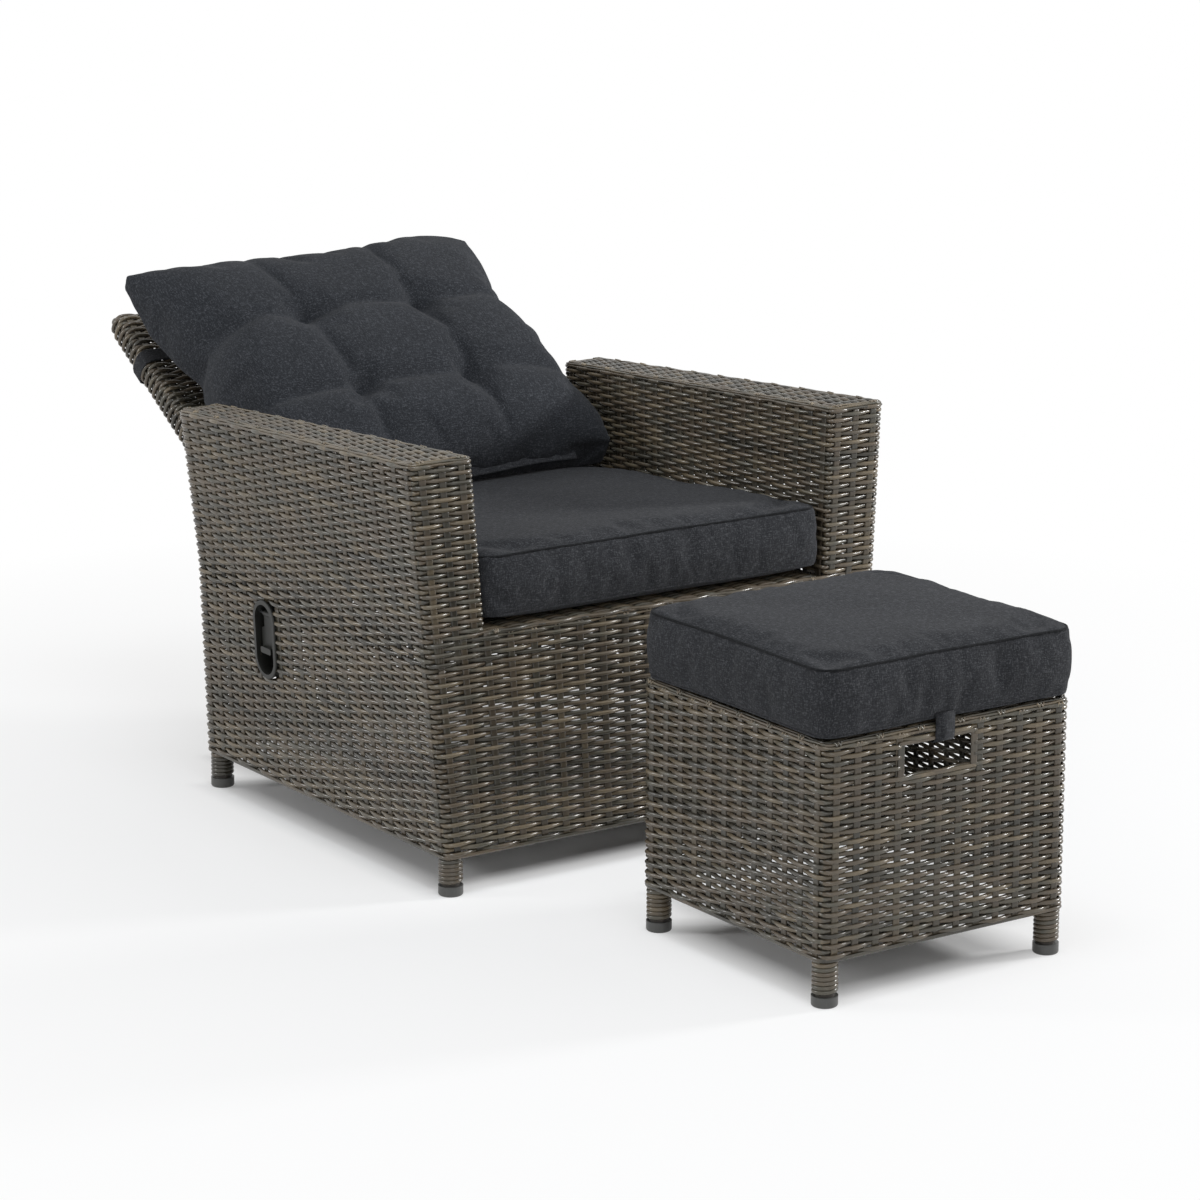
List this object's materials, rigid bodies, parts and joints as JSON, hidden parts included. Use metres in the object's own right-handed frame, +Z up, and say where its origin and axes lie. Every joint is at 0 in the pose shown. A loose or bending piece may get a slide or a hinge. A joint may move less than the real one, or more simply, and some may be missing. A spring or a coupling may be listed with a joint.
{
  "type": "outdoor recliner with ottoman",
  "caption": "Woven outdoor lounge chair whose back reclines on a locking gas spring worked by a side handle, with loose cushions and a woven ottoman.",
  "frame": {"origin": "on the floor, under the middle of the bounding box of the chair and its ottoman", "axes": "+Z up; -Y is the way the chair faces, towards the ottoman; +X is the right-hand side seen from the front"},
  "size_m": [0.7892, 1.7197, 0.7255],
  "materials": {
    "weave": "half-round woven strand, satin",
    "tube": "powder coated, hidden in the weave",
    "steel": "zinc plated",
    "dark_steel": "black paint",
    "black_plastic": "matt",
    "grey_plastic": "matt",
    "cushion": "woven, matt",
    "strap": "woven band"
  },
  "bodies": {
    "chair": {"left_arm_frame": "tube", "right_arm_frame": "tube", "left_front_post": "tube", "left_rear_post": "tube", "right_front_post": "tube", "right_rear_post": "tube", "front_lower_rail": "tube", "rear_lower_rail": "tube", "side_lower_rails": "tube", "left_inner_posts": "tube", "right_inner_posts": "tube", "front_seat_rail": "tube", "seat_side_rails": "tube", "seat_rear_rail": "tube", "seat_bars": "tube", "rear_upper_rail": "tube", "spring_rail": "tube", "spring_bracket": "steel", "spring_front_pin": "steel", "hinge_brackets": "steel", "hinge_pins": "steel", "left_arm_weave": "weave", "right_arm_weave": "weave", "front_weave": "weave", "rear_weave": "weave", "seat_weave": "weave", "chair_leg_wraps": "weave", "chair_foot_caps": "grey_plastic", "handle_housing": "black_plastic", "handle_pin": "steel", "release_cable": "black_plastic"},
    "backrest": {"left_back_tube": "tube", "right_back_tube": "tube", "back_top_tube": "tube", "back_bottom_tube": "tube", "back_middle_rail": "tube", "back_weave": "weave", "hinge_bushes": "black_plastic", "spring_lever": "dark_steel", "spring_rear_pin": "steel"},
    "back_cushion_set": {"back_cushion": "cushion", "back_strap": "strap"},
    "spring_rod_set": {"gas_spring_rod": "steel", "release_head": "dark_steel", "release_lever_pin": "steel"},
    "spring_cylinder_set": {"gas_spring_cylinder": "dark_steel", "rod_guide": "black_plastic"},
    "handle": {"handle_paddle": "black_plastic"},
    "press_lever": {"release_lever": "steel"},
    "valve_pin": {"release_pin": "steel"},
    "seat_cushion_set": {"seat_cushion": "cushion"},
    "ottoman": {"ottoman_posts": "tube", "ottoman_rails": "tube", "ottoman_weave": "weave", "ottoman_top_weave": "weave", "ottoman_leg_wraps": "weave", "ottoman_foot_caps": "grey_plastic", "ottoman_cushion": "cushion", "ottoman_straps": "strap"}
  },
  "joints": [
    {"name": "back_recline", "type": "hinge", "parent": "chair", "child": "backrest", "pos_m": [0, 0.38429, 0.333], "axis": [1, 0, 0], "range_deg": [0, 42]},
    {"name": "back_cushion_slide", "type": "slide", "parent": "backrest", "child": "back_cushion_set", "axis": [0, 0.848, 0.5299], "range_m": [0, 0.075]},
    {"name": "spring_tilt", "type": "hinge", "parent": "chair", "child": "spring_rod_set", "pos_m": [-0.12, 0.08289, 0.24398], "axis": [1, 0, 0], "range_deg": [-2.5, 1]},
    {"name": "spring_stroke", "type": "slide", "parent": "spring_rod_set", "child": "spring_cylinder_set", "axis": [0, 0.9945, 0.1045], "range_m": [-0.005, 0.05]},
    {"name": "handle_pull", "type": "hinge", "parent": "chair", "child": "handle", "pos_m": [-0.35928, 0.22922, 0.29929], "axis": [0.0129, 0.9999, 0], "range_deg": [0, 25], "stiffness_Nm_per_rad": 0.35, "springref_deg": -17.19},
    {"name": "press_lever_turn", "type": "hinge", "parent": "spring_rod_set", "child": "press_lever", "pos_m": [-0.1145, 0.09527, 0.24528], "axis": [0, 0.1045, -0.9945], "range_deg": [0, 16]},
    {"name": "valve_pin_push", "type": "slide", "parent": "spring_rod_set", "child": "valve_pin", "axis": [0, 0.9945, 0.1045], "range_m": [0, 0.0021]},
    {"name": "seat_cushion_pull", "type": "slide", "parent": "chair", "child": "seat_cushion_set", "axis": [0, -0.9974, 0.0715], "range_m": [0, 0.15]},
    {"name": "ottoman_move", "type": "slide", "parent": "chair", "child": "ottoman", "axis": [0, -1, 0], "range_m": [0, 0.3]}
  ],
  "couplings": [
    {"joint": "back_cushion_slide", "follows": "back_recline", "m_per_rad": 0.097},
    {"joint": "spring_tilt", "follows": "back_recline", "ratio": -0.033},
    {"joint": "spring_stroke", "follows": "back_recline", "m_per_rad": 0.0618},
    {"joint": "press_lever_turn", "follows": "handle_pull", "ratio": 0.6},
    {"joint": "valve_pin_push", "follows": "handle_pull", "m_per_rad": 0.0046}
  ]
}
